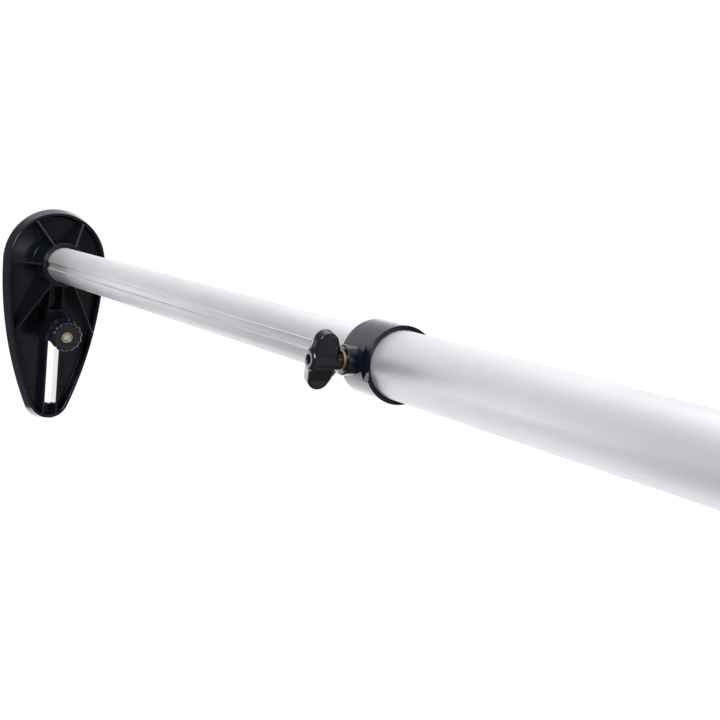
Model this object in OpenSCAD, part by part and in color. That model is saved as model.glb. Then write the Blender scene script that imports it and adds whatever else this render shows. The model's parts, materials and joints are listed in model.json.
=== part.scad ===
// Door frame spreader: a telescopic strut that holds the two sides of a door frame apart.
// X runs along the tubes, from the far pad to the near pad. Z is up, and the clamp knob faces -Y.
// The origin is on the tubes' axis, in the contact face of the far pad.

/* [Tubes] */
// Outside diameter of the inner tube
inner_d = 28; // [26:0.5:29]
// Wall of the inner tube
inner_wall = 1.5; // [1.2:0.1:2]
// Length of the inner tube
inner_len = 620; // [420:5:800]
// Outside diameter of the outer tube
outer_d = 35; // [34:0.5:38]
// Wall of the outer tube
outer_wall = 1.5; // [1.2:0.1:1.8]
// Length of the outer tube
outer_len = 620; // [420:5:800]
// Length of the inner tube that is inside the outer tube
overlap = 70; // [50:1:200]
// Width of the groove that keeps the tubes from turning
groove_w = 4.5; // [4.4:0.1:5.5]
// Depth of the groove
groove_d = 1.8; // [1.2:0.1:2.2]

/* [End plates] */
// Radius of the big end of a plate
plate_top_r = 42.3; // [38:0.1:48]
// Radius of the small end of a plate
plate_bottom_r = 19.2; // [17:0.1:24]
// Distance between the centres of the two ends of a plate
plate_span = 111.7; // [100:0.1:130]
// Height of the big end's centre above the tubes' axis
plate_rise = 1.2; // [0:0.1:3]
// Thickness of the plate's floor
plate_floor = 3; // [2.4:0.1:4]
// Height of the rim over the plate's outer face
rim_h = 11.6; // [9:0.1:13]
// Thickness of the rim
rim_wall = 2.2; // [1.6:0.1:3]
// How far the rim leans in over its height
rim_draft = 2.7; // [1:0.1:4]
// Height of the socket over the plate's outer face
socket_h = 29.3; // [24:0.1:36]
// Wall of the socket
socket_wall = 3.5; // [2.5:0.1:5]
// Thickness of the ribs
rib_t = 1.6; // [1.2:0.1:3]
// Thickness of the soft pad
pad_t = 2; // [1.5:0.1:4]
// Margin of the plate that the pad leaves bare
pad_margin = 2.5; // [1:0.1:5]

/* [Slot] */
// Width of the slot
slot_w = 9.2; // [8.6:0.1:10.5]
// Distance from the tubes' axis down to the top of the slot
slot_top = 38.5; // [34:0.1:42]
// Length of plate that is left below the slot
slot_foot = 13.3; // [11:0.1:18]
// Height of the slot's walls over the plate's outer face
slot_wall_h = 13.5; // [13.1:0.1:16]
// Thickness of the slot's walls
slot_wall_t = 2; // [1.5:0.1:3]

/* [Edge stop] */
// Width of the sliding block
block_w = 17.1; // [15:0.1:20]
// Length of the sliding block
block_len = 26; // [24:0.1:32]
// Thickness of the sliding block
block_t = 7.2; // [6.5:0.1:9]
// Radius of the round seat on the sliding block
seat_r = 11.4; // [9.5:0.1:12.5]
// Lean of the bolt, away from the tubes
bolt_lean = 13; // [0:1:15]
// Length of the tongue that runs in the slot
tongue_len = 22; // [20:0.1:26]
// Width of the stop
stop_w = 16; // [14:0.1:18]
// Length of the stop
stop_len = 22; // [20:0.1:26]
// How far the stop stands past the contact face
stop_proud = 7; // [6:0.1:10]

/* [Bolt and fluted knob] */
// Diameter of the bolt
bolt_d = 6; // [5:0.5:6]
// Length of the bolt under its head
bolt_len = 50; // [49:0.5:51]
// Width of the bolt's head across flats
bolt_head_w = 10; // [8:0.5:10]
// Height of the bolt's head
bolt_head_h = 4; // [3:0.1:4.5]
// Diameter of the knob
knob_d = 25; // [22:0.5:30]
// Height of the knob's head
knob_head_h = 15; // [12:0.5:17]
// Diameter of the knob's neck
knob_neck_d = 15; // [13:0.5:16]
// Height of the knob's neck
knob_neck_h = 11; // [9:0.1:12]
// Count of flutes round the knob
knob_flutes = 14; // [8:1:18]
// Depth of the flutes
flute_depth = 0.9; // [0.5:0.1:1.3]
// Outside diameter of the knob's brass insert
knob_insert_d = 9.2; // [8.5:0.1:10]
// Diameter of the washer
washer_d = 14; // [13:0.5:16]
// Thickness of the washer
washer_t = 1.2; // [1:0.1:1.6]

/* [Collar] */
// Length of the collar
collar_len = 28.5; // [26:0.1:36]
// Wall of the collar
collar_wall = 2.4; // [2:0.1:4]
// Thickness of the lip that runs on the inner tube
collar_lip = 4; // [3:0.1:5]
// Distance from the lip's face to the clamp screw
clamp_place = 12.3; // [11.5:0.1:14]
// Diameter of the boss
boss_d = 15.5; // [14:0.1:17]
// How far the boss stands out of the collar
boss_h = 5.3; // [4.5:0.1:9]
// Length of the flat at the collar's open end
flat_len = 5.4; // [3:0.1:6]
// Depth of that flat
flat_depth = 1.9; // [0.5:0.1:1.9]

/* [Clamp screw and wing knob] */
// Diameter of the clamp screw
screw_d = 6; // [5:0.5:6]
// Outside diameter of the boss's brass insert
boss_insert_d = 9; // [8:0.1:9.5]
// Span of the wings
wing_span = 31.5; // [28:0.5:40]
// Thickness of the wings
wing_t = 7; // [6:0.1:9]
// Depth of the wings along the screw
wing_depth = 11.8; // [9:0.1:13]
// Diameter of the hub
hub_d = 11.6; // [10.5:0.1:14]
// Length of the hub along the screw
hub_len = 16.9; // [14.5:0.1:19]
// Turn of the wings when the clamp is tight
wing_turn = 20; // [0:1:90]

/* [Hidden] */
$fn = 96;

// Colours
plastic = [0.06, 0.06, 0.07];
rubber = [0.20, 0.20, 0.21];
aluminium = [0.86, 0.86, 0.88];
zinc = [0.78, 0.80, 0.82];
brass = [0.80, 0.62, 0.34];

// Fits, and the overrun of every cut
seat_gap = 0.05;
run_gap = 0.08;
rest_gap = 0.15;
slide_gap = 0.3;
cut = 1;
outline_fn = 64;

// Tubes
inner_r = inner_d / 2;
inner_bore_r = inner_r - inner_wall;
outer_r = outer_d / 2;
outer_bore_r = outer_r - outer_wall;
groove_floor = inner_r - groove_d;
fold_w = groove_w + 2 * inner_wall;
fold_floor = groove_floor - inner_wall;

// Places along X
plate_x = pad_t;
floor_x = plate_x + plate_floor;
rim_x = plate_x + rim_h;
socket_x = plate_x + socket_h;
inner_end_x = floor_x + inner_len;
outer_x = inner_end_x - overlap;
collar_x = outer_x - collar_lip;
clamp_x = collar_x + clamp_place;
outer_end_x = outer_x + outer_len;
total_len = outer_end_x + floor_x;

// Outline of a plate: two round ends, joined by side arcs that are tangent to both
side_r = (pow(plate_span, 2) + pow(plate_top_r, 2) - pow(plate_bottom_r, 2))
    / (2 * (plate_top_r - plate_bottom_r));
side_shift = side_r - plate_top_r;
side_angle = atan(plate_span / side_shift);
plate_bottom_z = plate_rise - plate_span - plate_bottom_r;
slot_bottom_z = plate_bottom_z + slot_foot;
slot_corner_r = 1.4;
rib_angles = [0, 60, 120, 180, 240, 300];
rib_foot_x = plate_x + plate_floor / 2;
rib_inset = rim_draft + rim_wall / 2;
rib_step = 2.4;

// Plug and screw that hold a plate on its tube
plug_len = 20;
plate_screw_d = 5;
plate_screw_len = 18;
plate_screw_head_d = 9.6;
plate_screw_head_h = 2.6;
plate_screw_drive_d = 3.5;
plate_screw_drive_h = 2;

// Glide bush at the end of the inner tube
bush_len = 16;
bush_spigot_len = 20;
bush_bore_d = 14;
bush_wall = 4;
glide_pin_d = 3;

// Sliding block, stop and bolt
tongue_w = slot_w - 2 * slide_gap;
slider_z = -(slot_top + slide_gap + tongue_len / 2);
block_x = plate_x + slot_wall_h + slide_gap;
seat_x = block_x + block_t;
bolt_hole_d = bolt_d + 2 * rest_gap;
stop_x = plate_x - slide_gap;
stop_z = slider_z + (seat_x - plate_x + stop_proud / 2) * tan(bolt_lean);
stop_round_r = 3;
bolt_seat = 1.8;
bolt_start = -(seat_x - plate_x) / cos(bolt_lean) - bolt_seat;
bolt_end = bolt_start + bolt_len;
bolt_tip = 0.6;
stop_reach = 2 * (stop_len + stop_proud + seat_x);

// Fluted knob, along the bolt
washer_start = rest_gap;
knob_start = washer_start + washer_t + rest_gap;
knob_head_start = knob_start + knob_neck_h;
knob_end = knob_head_start + knob_head_h;
knob_r = knob_d / 2;
knob_edge = 2.2;
knob_throat = 3;
flute_r = 2.4;
flute_place = knob_r + flute_r - flute_depth;
flute_start = knob_head_start + knob_edge + 1.8;
knob_insert_r = knob_insert_d / 2;
knob_insert_len = 14;
knob_insert_start = knob_end - knob_insert_len;

// Collar and clamp, out from the tubes' axis
collar_bore_r = outer_r + seat_gap;
collar_r = collar_bore_r + collar_wall;
collar_end_x = collar_x + collar_len;
collar_edge = 0.6;
flat_place = collar_r - flat_depth;
boss_end = collar_r + boss_h;
boss_flange_t = 0.8;
boss_flange_d = boss_insert_d + 1.2;
boss_insert_start = outer_bore_r + seat_gap;
shoe_d = groove_w - 2 * rest_gap;
shoe_start = groove_floor + rest_gap;
shoe_len = 3.2;
shoe_pin_d = 2.6;
shoe_pin_len = 3;
screw_start = shoe_start + shoe_len + run_gap;
hub_start = boss_end + boss_flange_t + 2 * slide_gap;
hub_end = hub_start + hub_len;
hub_edge = 0.8;
hub_hole_d = 4.6;
hub_hole_h = 2.5;
screw_end = hub_end - hub_hole_h - 2;
wing_end = hub_end - 1.3;
wing_middle = wing_end - wing_depth / 2;

// Mirrors what is drawn at the far end onto the near end
module near_end() {
    translate([total_len, 0, 0]) mirror([1, 0, 0]) children();
}

// Stands a shape that is drawn along +Z on the tubes' axis, along +X
module along_x(x) {
    translate([x, 0, 0]) rotate([0, 90, 0]) children();
}

// Extrudes an outline along +X. Its x is the part's Y, and its y is the part's Z
module slab(x, thickness) {
    translate([x, 0, 0]) rotate([90, 0, 90]) linear_extrude(thickness) children();
}

// Frame of the stop bolt: the origin is in the seat, and +Z runs along the bolt to the knob
module bolt_frame() {
    translate([seat_x, 0, slider_z]) rotate([0, 90 + bolt_lean, 0]) children();
}

// Frame of the clamp: the origin is on the tubes' axis, and +Z runs out along the clamp screw
module clamp_frame() {
    translate([clamp_x, 0, 0]) rotate([90, 0, 0]) children();
}

// Box that is centred on Y, from one corner in X and Z to another
module beam(x1, x2, width, z1, z2) {
    translate([x1, -width / 2, z1]) cube([x2 - x1, width, z2 - z1]);
}

// Egg outline of a plate, drawn in by inset
module egg(inset) {
    reach = 2 * plate_bottom_r;
    tangent_y = reach * cos(side_angle);
    tangent_z = -plate_span - reach * sin(side_angle);
    translate([0, plate_rise]) {
        circle(plate_top_r - inset, $fn = outline_fn);
        translate([0, -plate_span]) circle(plate_bottom_r - inset, $fn = outline_fn);
        intersection() {
            translate([-side_shift, 0]) circle(side_r - inset, $fn = 4 * outline_fn);
            translate([side_shift, 0]) circle(side_r - inset, $fn = 4 * outline_fn);
            polygon([
                [-plate_top_r, 0],
                [plate_top_r, 0],
                [tangent_y, tangent_z],
                [0, -plate_span],
                [-tangent_y, tangent_z]
            ]);
        }
    }
}

// Egg that leans in as it rises from the plate's outer face, like the rim
module leaning_egg(inset, x, height) {
    skin = plate_floor / 100;
    hull() {
        slab(x, skin) egg(inset);
        slab(x + height - skin, skin) egg(inset + rim_draft * height / rim_h);
    }
}

// Slot in the plate's floor, with rounded corners at its foot
module slot_outline() {
    width = slot_w - 2 * slot_corner_r;
    translate([-slot_w / 2, slot_bottom_z + slot_corner_r])
        square([slot_w, -slot_top - slot_bottom_z - slot_corner_r]);
    translate([-width / 2, slot_bottom_z]) square([width, 2 * slot_corner_r]);
    for (side = [-1, 1])
        translate([side * width / 2, slot_bottom_z + slot_corner_r]) circle(slot_corner_r);
}

// Distance from the tubes' axis to the top of the rim, along a rib
function rib_reach(angle) =
    let (
        down = sin(angle) < 0,
        shift = down ? side_shift : 0,
        radius = (down ? side_r : plate_top_r) - rib_inset,
        b = shift * abs(cos(angle)) - plate_rise * sin(angle),
        c = pow(shift, 2) + pow(plate_rise, 2) - pow(radius, 2)
    )
    -b + sqrt(b * b - c);

// Rib that falls from the socket's mouth to the rim
module rib(angle, socket_r) {
    reach = rib_reach(angle);
    rotate([angle, 0, 0]) translate([0, 0, -rib_t / 2]) linear_extrude(rib_t) polygon([
        [rib_foot_x, socket_r - socket_wall / 2],
        [socket_x, socket_r - socket_wall / 2],
        [socket_x, socket_r],
        [rim_x + rib_step, reach - rib_step],
        [rim_x, reach - rib_step / 3],
        [rib_foot_x, reach + rim_draft * (rim_x - rib_foot_x) / rim_h]
    ]);
}

// Tray-shaped plate with a socket for a tube of diameter tube_d
module plate(tube_d) {
    bore_r = tube_d / 2 + seat_gap;
    socket_r = bore_r + socket_wall;
    difference() {
        union() {
            difference() {
                leaning_egg(0, plate_x, rim_h);
                leaning_egg(rim_wall, floor_x, rim_h);
            }
            along_x(rib_foot_x) cylinder(r = socket_r, h = socket_x - rib_foot_x);
            for (angle = rib_angles) rib(angle, socket_r);
            intersection() {
                for (side = [-1, 1])
                    translate([0, side * (slot_w + slot_wall_t) / 2, 0])
                        beam(rib_foot_x, plate_x + slot_wall_h, slot_wall_t, plate_bottom_z, -bore_r);
                leaning_egg(rim_wall / 2, plate_x, slot_wall_h + cut);
            }
        }
        along_x(floor_x) cylinder(r = bore_r, h = socket_h);
        slab(plate_x - cut, plate_floor + 2 * cut) slot_outline();
        along_x(plate_x - cut) cylinder(d = plate_screw_d + 2 * seat_gap, h = plate_floor + 2 * cut);
        along_x(plate_x) cylinder(
            d1 = plate_screw_head_d + 2 * seat_gap,
            d2 = plate_screw_d + 2 * seat_gap,
            h = plate_screw_head_h
        );
    }
}

// Soft facing with a window for the stop and the slot
module pad() {
    window_w = stop_w + 4 * slide_gap;
    window_top = stop_z + stop_len / 2 + 2 * slide_gap;
    slab(0, pad_t) difference() {
        egg(pad_margin);
        translate([-window_w / 2, slot_bottom_z]) square([window_w, window_top - slot_bottom_z]);
    }
}

// Room for the inner tube's folded groove, cut from what sits in its bore
module fold_room(x, length) {
    room = fold_w + 2 * seat_gap;
    translate([x, -inner_r - cut, -room / 2])
        cube([length, inner_r + cut - fold_floor + seat_gap, room]);
}

// Plug in the end of a tube, which takes the plate's screw
module plug(radius) {
    along_x(floor_x) difference() {
        cylinder(r = radius, h = plug_len);
        translate([0, 0, -cut]) cylinder(d = plate_screw_d + 2 * seat_gap, h = plug_len + 2 * cut);
    }
}

// Countersunk screw through the plate's floor into the plug
module plate_screw() {
    along_x(plate_x) difference() {
        union() {
            cylinder(d1 = plate_screw_head_d, d2 = plate_screw_d, h = plate_screw_head_h);
            cylinder(d = plate_screw_d, h = plate_screw_len);
        }
        translate([0, 0, -cut])
            cylinder(d = plate_screw_drive_d, h = plate_screw_drive_h + cut, $fn = 6);
    }
}

// Stop that bears on the edge of the frame, with a pocket that holds the bolt's head
module edge_stop() {
    stop_z1 = stop_z - stop_len / 2;
    tongue_z1 = max(slider_z - tongue_len / 2, stop_z1);
    corner_y = stop_w / 2 - stop_round_r;
    corner_z = stop_len / 2 - stop_round_r;
    difference() {
        union() {
            slab(-stop_proud, stop_x + stop_proud) translate([0, stop_z]) {
                square([stop_w, 2 * corner_z], center = true);
                square([2 * corner_y, stop_len], center = true);
                for (y = [-corner_y, corner_y], z = [-corner_z, corner_z])
                    translate([y, z]) circle(stop_round_r);
            }
            beam(stop_x - cut, floor_x, tongue_w, tongue_z1, slider_z + tongue_len / 2);
        }
        bolt_frame() {
            translate([0, 0, bolt_start - stop_reach])
                cylinder(d = (bolt_head_w + 2 * rest_gap) / cos(30), h = stop_reach, $fn = 6);
            translate([0, 0, bolt_start - cut]) cylinder(d = bolt_hole_d, h = stop_reach);
        }
    }
}

// Hexagon bolt that draws the stop and the block together
module stop_bolt() {
    bolt_frame() {
        translate([0, 0, bolt_start - bolt_head_h])
            cylinder(d = bolt_head_w / cos(30), h = bolt_head_h, $fn = 6);
        translate([0, 0, bolt_start]) cylinder(d = bolt_d, h = bolt_len - bolt_tip);
        translate([0, 0, bolt_end - bolt_tip])
            cylinder(d1 = bolt_d, d2 = bolt_d - bolt_tip * 2, h = bolt_tip);
    }
}

// Block that runs on the slot's walls, with a leaning round seat for the washer
module slider_block() {
    tall = block_t + seat_r;
    difference() {
        union() {
            beam(block_x, seat_x, block_w, slider_z - block_len / 2, slider_z + block_len / 2);
            intersection() {
                bolt_frame() translate([0, 0, -block_t]) cylinder(r = seat_r, h = block_t);
                beam(block_x, seat_x + tall, block_w, slider_z - tall, slider_z + tall);
            }
            beam(
                floor_x + slide_gap, block_x + cut, tongue_w,
                slider_z - tongue_len / 2, slider_z + tongue_len / 2
            );
        }
        bolt_frame() {
            translate([-block_len, -block_w, 0]) cube([2 * block_len, 2 * block_w, tall]);
            translate([0, 0, -stop_reach]) cylinder(d = bolt_hole_d, h = 2 * stop_reach);
        }
    }
}

module washer() {
    bolt_frame() translate([0, 0, washer_start]) difference() {
        cylinder(d = washer_d, h = washer_t);
        translate([0, 0, -cut]) cylinder(d = bolt_d + 2 * run_gap, h = washer_t + 2 * cut);
    }
}

// Fluted knob with a conical throat, a smooth shoulder and a bore for the insert
module fluted_knob() {
    neck_r = knob_neck_d / 2;
    bolt_frame() difference() {
        rotate_extrude() polygon([
            [0, knob_start],
            [neck_r, knob_start],
            [neck_r, knob_head_start - knob_throat],
            [knob_r - knob_edge, knob_head_start],
            [knob_r, knob_head_start + knob_edge],
            [knob_r, knob_end - knob_edge],
            [knob_r - knob_edge, knob_end],
            [0, knob_end]
        ]);
        for (i = [0 : knob_flutes - 1])
            rotate([0, 0, 360 * i / knob_flutes])
                translate([flute_place, 0, flute_start])
                    cylinder(r = flute_r, h = knob_head_h, $fn = 48);
        translate([0, 0, knob_start - cut])
            cylinder(d = bolt_hole_d, h = knob_insert_start - knob_start + 2 * cut);
        translate([0, 0, knob_insert_start]) cylinder(r = knob_insert_r, h = knob_insert_len + cut);
    }
}

module knob_insert() {
    bolt_frame() translate([0, 0, knob_insert_start]) difference() {
        cylinder(r = knob_insert_r, h = knob_insert_len);
        translate([0, 0, -cut]) cylinder(d = bolt_d + 2 * run_gap, h = knob_insert_len + 2 * cut);
    }
}

module inner_tube() {
    color(aluminium) difference() {
        slab(floor_x, inner_len) difference() {
            union() {
                difference() {
                    circle(inner_r);
                    circle(inner_bore_r);
                }
                intersection() {
                    circle(inner_r);
                    translate([-inner_r, -fold_w / 2]) square([inner_r - fold_floor, fold_w]);
                }
            }
            translate([-inner_r - cut, -groove_w / 2]) square([inner_r + cut - groove_floor, groove_w]);
        }
        translate([inner_end_x - bush_spigot_len / 2, 0, -inner_r - cut])
            cylinder(d = glide_pin_d + 2 * seat_gap, h = inner_d + 2 * cut);
    }
}

// Cup-shaped piston that keeps the inner tube's end in the middle of the outer tube
module glide_bush() {
    color(plastic) difference() {
        union() {
            along_x(inner_end_x) cylinder(r = outer_bore_r - run_gap, h = bush_len);
            difference() {
                along_x(inner_end_x - bush_spigot_len)
                    cylinder(r = inner_bore_r - seat_gap, h = bush_spigot_len + cut);
                fold_room(inner_end_x - bush_spigot_len - cut, bush_spigot_len + cut);
            }
        }
        along_x(inner_end_x - bush_spigot_len - cut)
            cylinder(d = bush_bore_d, h = cut + bush_spigot_len + bush_len - bush_wall);
        translate([inner_end_x - bush_spigot_len / 2, 0, -inner_r])
            cylinder(d = glide_pin_d + 2 * seat_gap, h = inner_d);
    }
}

module glide_pin() {
    reach = inner_r - seat_gap;
    color(zinc) translate([inner_end_x - bush_spigot_len / 2, 0, -reach])
        cylinder(d = glide_pin_d, h = 2 * reach);
}

module outer_tube() {
    color(aluminium) difference() {
        along_x(outer_x) difference() {
            cylinder(r = outer_r, h = outer_len);
            translate([0, 0, -cut]) cylinder(r = outer_bore_r, h = outer_len + 2 * cut);
        }
        clamp_frame() cylinder(d = boss_insert_d + 2 * seat_gap, h = outer_r + cut);
    }
}

// Sleeve on the outer tube's end, with a lip on the inner tube and a boss for the clamp screw
module collar() {
    color(plastic) difference() {
        union() {
            along_x(collar_x) rotate_extrude() polygon([
                [0, 0],
                [collar_r - collar_edge, 0],
                [collar_r, collar_edge],
                [collar_r, collar_len],
                [0, collar_len]
            ]);
            clamp_frame() cylinder(d = boss_d, h = boss_end);
        }
        along_x(collar_x - cut) cylinder(r = inner_r + run_gap, h = collar_len);
        along_x(outer_x) cylinder(r = collar_bore_r, h = collar_len);
        clamp_frame() cylinder(d = boss_insert_d + 2 * seat_gap, h = boss_end + cut);
        translate([collar_end_x - flat_len, -collar_r - cut, -collar_r])
            cube([flat_len + cut, collar_r + cut - flat_place, 2 * collar_r]);
    }
}

// Brass insert that passes through the boss into the outer tube and locks the collar on it
module boss_insert() {
    color(brass) clamp_frame() difference() {
        union() {
            translate([0, 0, boss_insert_start]) cylinder(d = boss_insert_d, h = boss_end - boss_insert_start);
            translate([0, 0, boss_end]) cylinder(d = boss_flange_d, h = boss_flange_t);
        }
        cylinder(d = screw_d + 2 * run_gap, h = hub_end);
    }
}

// Foot of the clamp screw, which runs in the inner tube's groove
module clamp_shoe() {
    color(brass) clamp_frame() translate([0, 0, shoe_start]) {
        cylinder(d = shoe_d, h = shoe_len);
        cylinder(d = shoe_pin_d, h = shoe_len + shoe_pin_len);
    }
}

module clamp_screw() {
    color(zinc) clamp_frame() difference() {
        translate([0, 0, screw_start]) cylinder(d = screw_d, h = screw_end - screw_start);
        cylinder(d = shoe_pin_d + 2 * run_gap, h = screw_start + shoe_pin_len + rest_gap);
    }
}

// Two-winged knob moulded on the clamp screw
module wing_knob() {
    wing_r = wing_depth / 2;
    color(plastic) clamp_frame() difference() {
        union() {
            rotate_extrude() polygon([
                [0, hub_start],
                [hub_d / 2, hub_start],
                [hub_d / 2, hub_end - hub_edge],
                [hub_d / 2 - hub_edge, hub_end],
                [0, hub_end]
            ]);
            rotate([90, 0, 90 - wing_turn]) linear_extrude(wing_t, center = true) {
                translate([0, wing_middle]) square([wing_span - wing_depth, wing_depth], center = true);
                for (side = [-1, 1])
                    translate([side * (wing_span / 2 - wing_r), wing_middle]) circle(wing_r);
            }
        }
        cylinder(d = screw_d, h = screw_end);
        translate([0, 0, hub_end - hub_hole_h]) cylinder(d = hub_hole_d, h = hub_hole_h + cut);
    }
}

module far_plate() {
    color(plastic) plate(inner_d);
}

module far_pad() {
    color(rubber) pad();
}

module far_plug() {
    color(plastic) difference() {
        plug(inner_bore_r - seat_gap);
        fold_room(floor_x - cut, plug_len + 2 * cut);
    }
}

module far_plate_screw() {
    color(zinc) plate_screw();
}

module near_plate() {
    color(plastic) near_end() plate(outer_d);
}

module near_pad() {
    color(rubber) near_end() pad();
}

module near_plug() {
    color(plastic) near_end() plug(outer_bore_r - seat_gap);
}

module near_plate_screw() {
    color(zinc) near_end() plate_screw();
}

module far_edge_stop() {
    color(plastic) edge_stop();
}

module far_stop_bolt() {
    color(zinc) stop_bolt();
}

module far_slider_block() {
    color(plastic) slider_block();
}

module far_washer() {
    color(plastic) washer();
}

module far_knob() {
    color(plastic) fluted_knob();
}

module far_knob_insert() {
    color(brass) knob_insert();
}

module near_edge_stop() {
    color(plastic) near_end() edge_stop();
}

module near_stop_bolt() {
    color(zinc) near_end() stop_bolt();
}

module near_slider_block() {
    color(plastic) near_end() slider_block();
}

module near_washer() {
    color(plastic) near_end() washer();
}

module near_knob() {
    color(plastic) near_end() fluted_knob();
}

module near_knob_insert() {
    color(brass) near_end() knob_insert();
}

far_plate();
far_pad();
far_plug();
far_plate_screw();
inner_tube();
glide_bush();
glide_pin();
outer_tube();
collar();
boss_insert();
near_plate();
near_pad();
near_plug();
near_plate_screw();
clamp_shoe();
clamp_screw();
wing_knob();
far_edge_stop();
far_stop_bolt();
far_slider_block();
far_washer();
far_knob();
far_knob_insert();
near_edge_stop();
near_stop_bolt();
near_slider_block();
near_washer();
near_knob();
near_knob_insert();
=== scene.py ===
"""A telescopic door frame spreader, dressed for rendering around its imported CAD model."""
import json
import math
from contextlib import contextmanager

import bmesh
import bpy
from mathutils import Matrix, Vector


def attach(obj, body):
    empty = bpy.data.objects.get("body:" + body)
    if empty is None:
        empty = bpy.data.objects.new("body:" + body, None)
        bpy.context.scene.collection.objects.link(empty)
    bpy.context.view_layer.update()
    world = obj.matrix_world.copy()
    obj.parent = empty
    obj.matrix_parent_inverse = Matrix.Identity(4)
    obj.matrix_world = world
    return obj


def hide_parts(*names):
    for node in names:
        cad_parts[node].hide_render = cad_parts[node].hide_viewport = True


MM = 0.001
FULL_TURN = 2 * math.pi

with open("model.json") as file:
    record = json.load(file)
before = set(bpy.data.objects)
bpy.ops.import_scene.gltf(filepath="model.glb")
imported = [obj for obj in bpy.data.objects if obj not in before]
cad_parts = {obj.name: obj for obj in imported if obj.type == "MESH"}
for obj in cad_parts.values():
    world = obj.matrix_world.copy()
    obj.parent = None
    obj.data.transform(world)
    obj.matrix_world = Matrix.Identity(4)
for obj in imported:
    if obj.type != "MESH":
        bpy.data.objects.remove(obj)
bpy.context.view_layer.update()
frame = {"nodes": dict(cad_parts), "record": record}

# Sizes are in millimetres and angles in degrees, as in the CAD model.

# Places along X, from the far pad's contact face
TOTAL_LEN = 1180
PLATE_X = 2
FLOOR_X = 5
ROOT_X = FLOOR_X - 0.8
TUBE_X = 5
RIM_X = 13.6
WALL_TOP_X = PLATE_X + 13.5
SEAT_X = 23
SOCKET_X = 31.3
COLLAR_X = 551
OUTER_X = 555
CLAMP_X = 563.3
FLAT_X = 574.1

# Tubes, and the groove of the thin one
INNER_R = 14
OUTER_R = 17.5
TUBE_WALL = 1.5
TUBE_LEN = 620
GROOVE_HALF = 3.2
GROOVE_DEEP_Y = -12.2

# The plate's outline: a big arc above, a small one below and a long one down each side
BIG_R = 42.3
SMALL_R = 19.2
EGG_SPAN = 111.7
EGG_RISE = 1.2
SIDE_R = (EGG_SPAN ** 2 + BIG_R ** 2 - SMALL_R ** 2) / (2 * (BIG_R - SMALL_R))
SIDE_SHIFT = SIDE_R - BIG_R
SIDE_ANGLE = math.atan(EGG_SPAN / SIDE_SHIFT)
TOP_STEPS, SIDE_STEPS, FOOT_STEPS = 64, 44, 26

# The tray's rim, ring by ring: how far each is drawn in, and how far it climbs
RIM_CLIMB = (
    (2.42, 10.6),                               # the leaning outer wall
    (0.2, 0.45), (0.3, 0.35), (0.45, 0.2),      # the rounding up to the top
    (0.9, 0.0),                                 # the top
    (0.45, -0.2), (0.3, -0.35), (0.2, -0.45),   # the rounding down from it
    (0.35, -6.3),                               # the inner wall
    (0.3, -0.6), (0.5, -0.45), (0.8, -0.25),    # the cove down to the floor
)
RIM_INSET = 3.8
RIB_ANGLES = range(0, 360, 60)
RIB_T = 1.6
SOCKET_GAP = 0.05
SOCKET_WALL = 3.5
SOCKET_REACH = 3.55
EJECTOR_MARKS = ((-24.5, -58.6, 4.9), (24.5, -58.6, 4.9), (11.8, -105.2, 3.6), (-11.8, -105.2, 3.6))

# The slot with its walls, and the pad's window behind it
SLOT_TOP = -38.5
SLOT_BOTTOM = -116.4
SLOT_HALF = 4.6
SLOT_WALL_T = 2
WINDOW_TOP = -32.5
WINDOW_HALF = 8.6
PAD_INSET = 2.5

# Stop, block and bolt. Heights along the bolt count from its seat.
SLIDER_Z = -49.8
BOLT_LEAN = 13
TONGUE_HALF = 4.3
STOP_HALF_H = 11
BOLT_R = 3
BOLT_HOLE_R = 3.15
THREAD_BORE = 3.08
HEAD_FOOT = -27.35
HEAD_TOP = -23.35
HEAD_R = 5.77

# The fluted knob and its insert
KNOB_FOOT = 1.65
KNOB_TOP = 27.65
KNOB_R = 12.5
NECK_R = 7.5
GRIP_FOOT = 16.6
INSERT_FOOT = 13.65
INSERT_R = 4.6

# Collar, boss and wing knob. Heights along the clamp screw count from the tubes' axis.
COLLAR_R = 19.95
COLLAR_BORE = 17.55
COLLAR_LEN = 28.5
LIP_BORE = 14.08
LIP_T = 4
BOSS_R = 7.75
BOSS_TOP = 25.25
FLAT_Y = -18.05
FLAT_HALF = 12
STUD_TOP = 39.55
HUB_FOOT = 26.65
HUB_TOP = 43.5
WING_T = 7
WING_TURN = 20

# How near counts as the same place, and how far tools reach past what they cut
SLACK = 0.01
PAST = 1


# Modelling tools

def only(obj):
    """Selects one object and nothing else."""
    bpy.ops.object.select_all(action="DESELECT")
    obj.select_set(True)
    bpy.context.view_layer.objects.active = obj


@contextmanager
def editing(obj, mode="FACE"):
    """Edit mode on one object, with nothing selected at first."""
    only(obj)
    bpy.ops.object.mode_set(mode="EDIT")
    bpy.ops.mesh.select_mode(type=mode)
    bpy.ops.mesh.select_all(action="DESELECT")
    yield
    bpy.ops.object.mode_set(mode="OBJECT")


def face_outward():
    """Turns every face of the piece in edit mode outward, and leaves them all selected."""
    bpy.ops.mesh.select_all(action="SELECT")
    bpy.ops.mesh.normals_make_consistent(inside=False)


def pick(obj, kind, test):
    """Selects the faces or edges that pass a test on their vertices' places."""
    mesh = bmesh.from_edit_mesh(obj.data)
    for item in getattr(mesh, kind):
        item.select_set(test([v.co / MM for v in item.verts]))
    bmesh.update_edit_mesh(obj.data)


def ring_line(name, points, fill="NOTHING"):
    """A circle primitive whose vertices are drawn out to an outline of points."""
    bpy.ops.object.select_all(action="DESELECT")
    bpy.ops.mesh.primitive_circle_add(vertices=len(points), radius=MM, fill_type=fill)
    obj = bpy.context.object
    obj.name = obj.data.name = name
    for vertex, point in zip(obj.data.vertices, points):
        vertex.co = Vector(point) * MM
    return obj


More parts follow.
